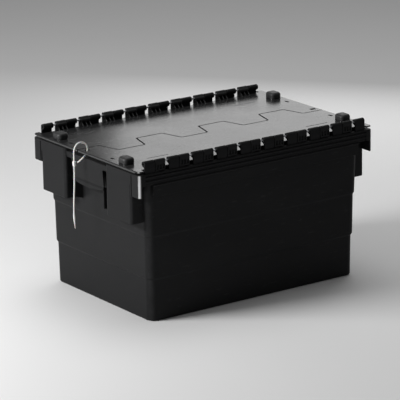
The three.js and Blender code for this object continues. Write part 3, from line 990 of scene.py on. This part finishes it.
def build_lock():
    """Rounded seal body with grip ridges across its outer face."""
    builder = bmesh.new()
    x = (LOCK_LOW.x, LOCK_HIGH.x)
    y = (LOCK_LOW.y, LOCK_HIGH.y)
    face = x[0] + LOCK_RIDGE_PROUD
    corners = [
        (face, y[0], LOCK_CORNER), (x[1], y[0], LOCK_CORNER),
        (x[1], y[1], LOCK_CORNER), (face, y[1], LOCK_CORNER),
    ]
    prism(builder, "z", round_off(corners, 4), LOCK_LOW.z, LOCK_HIGH.z, 0.8, 2)
    lock = object_from("seal_lock_look", builder)
    ridges = bmesh.new()
    for k in range(3):
        z = LOCK_LOW.z + 3 + 3 * k
        block(ridges, (x[0], x[0] + 2), (y[0] + 1.5, y[1] - 1.5), (z - 0.5, z + 0.5), 0.3)
    combine(lock, object_from("ridges", ridges), "UNION")
    hole = bmesh.new()
    section = circle(*LOCK_HOLE, LOCK_HOLE_RADIUS, 20)
    prism(hole, "z", section, LOCK_LOW.z - PAST, LOCK_HIGH.z + PAST, 0)
    return combine(lock, object_from("hole", hole), "DIFFERENCE")


# ---- Materials -----------------------------------------------------------------

PLASTIC_IOR = 1.49
BLACK_LOW, BLACK_HIGH = (0.012, 0.0122, 0.0127), (0.018, 0.0182, 0.0188)
SCUFFED = (0.05, 0.05, 0.051)
# Faint lighter corner tone, part polish wear and part painted sheen.
POLISH_AND_SHEEN = (0.06, 0.06, 0.062)
# Slightly lighter edge tone, part wear and part painted highlight.
CHIPPED_AND_SHEEN = (0.045, 0.045, 0.046)
# Near-white colour painted on the outermost rounded corners as a highlight.
PAINTED_CORNER_HIGHLIGHT = (0.78, 0.78, 0.79)
DUST = (0.15, 0.146, 0.138)
ZINC_DARK, ZINC_LIGHT = (0.42, 0.43, 0.45), (0.66, 0.67, 0.69)
WHITE_LOW, WHITE_HIGH = (0.74, 0.73, 0.70), (0.86, 0.86, 0.84)

# Metres from the middle or the base at which the painted corner highlights and the raised parts
# begin.
PAINTED_HIGHLIGHT_X = (0.2920, 0.2935)
PAINTED_HIGHLIGHT_Y = (0.1900, 0.1920)
RAISED_Z = (0.3315, 0.3335)


class Nodes:
    """Short way to add and link the nodes of one material."""

    def __init__(self, name):
        self.material = bpy.data.materials.new(name)
        self.material.use_nodes = True
        self.tree = self.material.node_tree
        self.shader = self.tree.nodes["Principled BSDF"]
        coordinates = self.add("ShaderNodeTexCoord")
        self.space = coordinates.outputs["Object"]
        self.facing = coordinates.outputs["Normal"]

    def add(self, kind, **settings):
        node = self.tree.nodes.new(kind)
        for key, value in settings.items():
            setattr(node, key, value)
        return node

    def link(self, source, target):
        self.tree.links.new(source, target)

    def noise(self, scale, detail=3.0, roughness=0.5, stretch=None):
        node = self.add("ShaderNodeTexNoise")
        node.inputs["Scale"].default_value = scale
        node.inputs["Detail"].default_value = detail
        node.inputs["Roughness"].default_value = roughness
        where = self.space
        if stretch:
            mapping = self.add("ShaderNodeMapping")
            mapping.inputs["Scale"].default_value = stretch
            mapping.inputs["Rotation"].default_value = (0.4, 0.3, 0.7)
            self.link(where, mapping.inputs["Vector"])
            where = mapping.outputs["Vector"]
        self.link(where, node.inputs["Vector"])
        return node.outputs["Fac"]

    def remap(self, value, low, high, to_low, to_high):
        node = self.add("ShaderNodeMapRange")
        node.inputs["From Min"].default_value = low
        node.inputs["From Max"].default_value = high
        node.inputs["To Min"].default_value = to_low
        node.inputs["To Max"].default_value = to_high
        self.link(value, node.inputs["Value"])
        return node.outputs["Result"]

    def split(self, vector):
        node = self.add("ShaderNodeSeparateXYZ")
        self.link(vector, node.inputs["Vector"])
        return [node.outputs[axis] for axis in "XYZ"]

    def math(self, operation, *values):
        node = self.add("ShaderNodeMath", operation=operation)
        node.use_clamp = True
        for socket, value in zip(node.inputs, values):
            if isinstance(value, (int, float)):
                socket.default_value = value
            else:
                self.link(value, socket)
        return node.outputs["Value"]

    def mix(self, factor, a, b):
        node = self.add("ShaderNodeMix", data_type="RGBA")
        self.link(factor, node.inputs["Factor"])
        for socket, value in ((node.inputs["A"], a), (node.inputs["B"], b)):
            if isinstance(value, tuple):
                socket.default_value = (*value, 1.0)
            else:
                self.link(value, socket)
        return node.outputs["Result"]

    def bump(self, height, distance, strength, normal=None):
        node = self.add("ShaderNodeBump")
        node.inputs["Distance"].default_value = distance
        node.inputs["Strength"].default_value = strength
        self.link(height, node.inputs["Height"])
        if normal:
            self.link(normal, node.inputs["Normal"])
        return node.outputs["Normal"]


def black_plastic(name, rough, dusty, specular):
    """Moulded black polypropylene: satin grain, flow marks, scuffs, dust, worn edges that also
    carry a painted highlight, a painted sheen on rounded upright corners and a painted near-white
    highlight on the outermost ones.
    """
    n = Nodes(name)
    flow = n.noise(5.0, 3.0, 0.5, (1.0, 1.0, 2.5))
    grain = n.noise(1100.0, 2.0, 0.6)
    scuffs = n.remap(n.noise(36.0, 5.0, 0.62, (1.0, 9.0, 5.0)), 0.60, 0.72, 0.0, 1.0)
    smudge = n.remap(n.noise(11.0, 4.0, 0.55), 0.35, 0.75, 0.0, 1.0)

    rounded = n.add("ShaderNodeBevel", samples=4)
    rounded.inputs["Radius"].default_value = 0.0007
    facing = n.add("ShaderNodeVectorMath", operation="DOT_PRODUCT")
    geometry = n.add("ShaderNodeNewGeometry")
    n.link(rounded.outputs["Normal"], facing.inputs[0])
    n.link(geometry.outputs["Normal"], facing.inputs[1])
    edges = n.remap(facing.outputs["Value"], 0.98, 0.80, 0.0, 1.0)
    # Partly edge wear, partly painted highlight: sharp edges are made slightly lighter so they
    # read as catching light.
    chipped_and_sheen = n.math("MULTIPLY", edges, n.remap(n.noise(70.0, 3.0), 0.35, 0.65, 0.1, 0.8))

    nx, ny, nz = n.split(n.facing)
    px, py, pz = n.split(n.space)
    turning = n.math("MINIMUM", n.math("ABSOLUTE", nx), n.math("ABSOLUTE", ny))
    corner = n.remap(turning, 0.30, 0.62, 0.0, 1.0)
    far_x = n.remap(n.math("ABSOLUTE", px), *PAINTED_HIGHLIGHT_X, 0.0, 1.0)
    far_y = n.remap(n.math("ABSOLUTE", py), *PAINTED_HIGHLIGHT_Y, 0.0, 1.0)
    # Painted highlight: the outermost rounded upright corners get a streaky near-white stripe in
    # place of a reflection.
    outermost = n.math("MULTIPLY", corner, n.math("MULTIPLY", far_x, far_y))
    highlight_streaks = n.remap(n.noise(90.0, 4.0, 0.6, (1.0, 1.0, 0.12)), 0.25, 0.5, 0.55, 1.0)
    painted_highlight = n.math("MULTIPLY", outermost, highlight_streaks)
    # Partly polish wear, partly painted highlight: every rounded upright corner gets a faint
    # lighter tone that stands in for a soft sheen.
    polish_and_sheen = n.math("MULTIPLY", corner, n.remap(n.noise(30.0, 4.0, 0.6), 0.35, 0.7, 0.2, 1.0))

    lying = n.remap(nz, 0.6, 1.0, 0.0, dusty)
    dust = n.math("MULTIPLY", lying, n.remap(n.noise(24.0, 6.0, 0.65), 0.38, 0.72, 0.15, 1.0))

    colour = n.mix(flow, BLACK_LOW, BLACK_HIGH)
    colour = n.mix(n.math("MULTIPLY", scuffs, 0.3), colour, SCUFFED)
    colour = n.mix(n.math("MULTIPLY", polish_and_sheen, 0.35), colour, POLISH_AND_SHEEN)
    colour = n.mix(chipped_and_sheen, colour, CHIPPED_AND_SHEEN)
    colour = n.mix(painted_highlight, colour, PAINTED_CORNER_HIGHLIGHT)
    colour = n.mix(dust, colour, DUST)
    n.link(colour, n.shader.inputs["Base Color"])

    shine = n.remap(smudge, 0.0, 1.0, rough - 0.02, rough + 0.03)
    shine = n.math("ADD", shine, n.math("MULTIPLY", scuffs, 0.12))
    shine = n.math("ADD", shine, n.math("MULTIPLY", dust, 0.4))
    raised = n.remap(pz, *RAISED_Z, 0.0, 0.3)
    shine = n.math("ADD", shine, raised)
    n.link(shine, n.shader.inputs["Roughness"])
    fine = n.bump(grain, 0.00012, 0.35, rounded.outputs["Normal"])
    n.link(n.bump(scuffs, 0.00008, 0.3, fine), n.shader.inputs["Normal"])
    n.shader.inputs["IOR"].default_value = PLASTIC_IOR
    n.shader.inputs["Specular IOR Level"].default_value = specular
    return n.material


def zinc_wire():
    """Drawn wire with a patchy zinc coat."""
    n = Nodes("zinc_wire")
    patches = n.noise(260.0, 3.0, 0.6)
    drawn = n.noise(60.0, 4.0, 0.6, (0.2, 14.0, 14.0))
    n.link(n.mix(patches, ZINC_DARK, ZINC_LIGHT), n.shader.inputs["Base Color"])
    n.link(n.remap(patches, 0.3, 0.7, 0.28, 0.5), n.shader.inputs["Roughness"])
    n.link(n.bump(drawn, 0.0001, 0.3), n.shader.inputs["Normal"])
    n.shader.inputs["Metallic"].default_value = 1.0
    return n.material


def seal_plastic():
    """Smooth white plastic that lets a little light in."""
    n = Nodes("seal_white")
    tint = n.noise(180.0, 3.0)
    n.link(n.mix(tint, WHITE_LOW, WHITE_HIGH), n.shader.inputs["Base Color"])
    n.link(n.remap(tint, 0.3, 0.7, 0.28, 0.42), n.shader.inputs["Roughness"])
    n.link(n.bump(n.noise(1500.0, 2.0), 0.00005, 0.3), n.shader.inputs["Normal"])
    n.shader.inputs["IOR"].default_value = PLASTIC_IOR
    n.shader.inputs["Subsurface Weight"].default_value = 0.15
    n.shader.inputs["Subsurface Scale"].default_value = 0.001
    return n.material


def dress(obj, material):
    obj.data.materials.clear()
    obj.data.materials.append(material)


def piece(obj, name, body, slot, material, *nodes):
    """Names a finished piece, gives it its finish, and puts it on its body."""
    obj.name = name
    obj.data.name = name
    dress(obj, material)
    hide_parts(*nodes)
    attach(obj, body)


tub_black = black_plastic("tub_black", rough=0.42, dusty=0.10, specular=0.06)
lid_black = black_plastic("lid_black", rough=0.21, dusty=0.05, specular=0.5)
hinge_black = black_plastic("hinge_black", rough=0.42, dusty=0.05, specular=0.12)
zinc = zinc_wire()
white = seal_plastic()

# ---- Pieces --------------------------------------------------------------------

strap, strap_line, strap_length = build_strap()
piece(strap, "seal_strap_look", "front_lid", "seal_plastic", white, "seal_strap")
lock = build_lock()
smooth(lock)
piece(lock, "seal_lock_look", "front_lid", "seal_plastic", white, "seal_lock")

tub = build_tub()
smooth(tub)
piece(tub, "tub_look", "tub", "tub_plastic", tub_black, "tub")

leaf = build_leaf()
front = turned_copy(leaf)
smooth(leaf)
smooth(front)
piece(leaf, "lid_back_look", "back_lid", "lid_plastic", lid_black, "lid_back")
piece(front, "lid_front_look", "front_lid", "lid_plastic", lid_black, "lid_front")

# The hinge segments stand outside the plate's inner edge, and are duller than the plate.
for lid in (leaf, front):
    lid.data.materials.append(hinge_black)
    for face in lid.data.polygons:
        if abs(face.center.y) > (LID_INNER_EDGE + 0.5) * MM:
            face.material_index = 1

for side, name in ((1, "back"), (-1, "front")):
    rod = build_rod(side)
    smooth(rod)
    piece(rod, f"rod_{name}_look", "tub", "rod_steel", zinc, f"hinge_rod_{name}")

# ---- Floor and light -------------------------------------------------------------

FLOOR_REACH = 14000
FLOOR_DROP = 0.3

floor_builder = bmesh.new()
floor_builder.faces.new([
    floor_builder.verts.new((x * FLOOR_REACH, y * FLOOR_REACH, -FLOOR_DROP))
    for x, y in ((-1, -1), (1, -1), (1, 1), (-1, 1))
])
floor = object_from("floor", floor_builder)
floor_nodes = Nodes("floor_pale")
floor_nodes.link(
    floor_nodes.mix(floor_nodes.noise(2.0), (0.78, 0.78, 0.78), (0.81, 0.81, 0.81)),
    floor_nodes.shader.inputs["Base Color"],
)
floor_nodes.shader.inputs["Roughness"].default_value = 0.8
dress(floor, floor_nodes.material)

world = bpy.data.worlds.new("studio")
scene.world = world
world.use_nodes = True
backdrop = world.node_tree.nodes["Background"]
backdrop.inputs["Color"].default_value = (1.0, 1.0, 1.0, 1.0)
backdrop.inputs["Strength"].default_value = 0.14


def softbox(name, place, aim_at, size, power):
    """Rectangular lamp, placed and sized in metres, that the camera doesn't see."""
    data = bpy.data.lights.new(name, "AREA")
    data.shape = "RECTANGLE"
    data.size, data.size_y = size
    data.energy = power
    lamp = bpy.data.objects.new(name, data)
    scene.collection.objects.link(lamp)
    turn = (Vector(aim_at) - Vector(place)).to_track_quat("-Z", "Y").to_matrix().to_4x4()
    lamp.matrix_world = Matrix.Translation(place) @ turn
    lamp.visible_camera = False


softbox(
    "back_softbox", place=(1.235, 1.02, 0.74), aim_at=(0.0, -0.1, 0.33), size=(1.36, 0.9),
    power=5.2,
)
softbox(
    "end_softbox", place=(-2.0, 0.55, 1.2), aim_at=(-0.3, 0.0, 0.2), size=(0.9, 0.3),
    power=49,
)
softbox(
    "top_softbox", place=(0.6, 0.6, 3.6), aim_at=(0.0, 0.0, 0.2), size=(2.4, 2.4),
    power=40,
)

scene.view_settings.view_transform = "Standard"
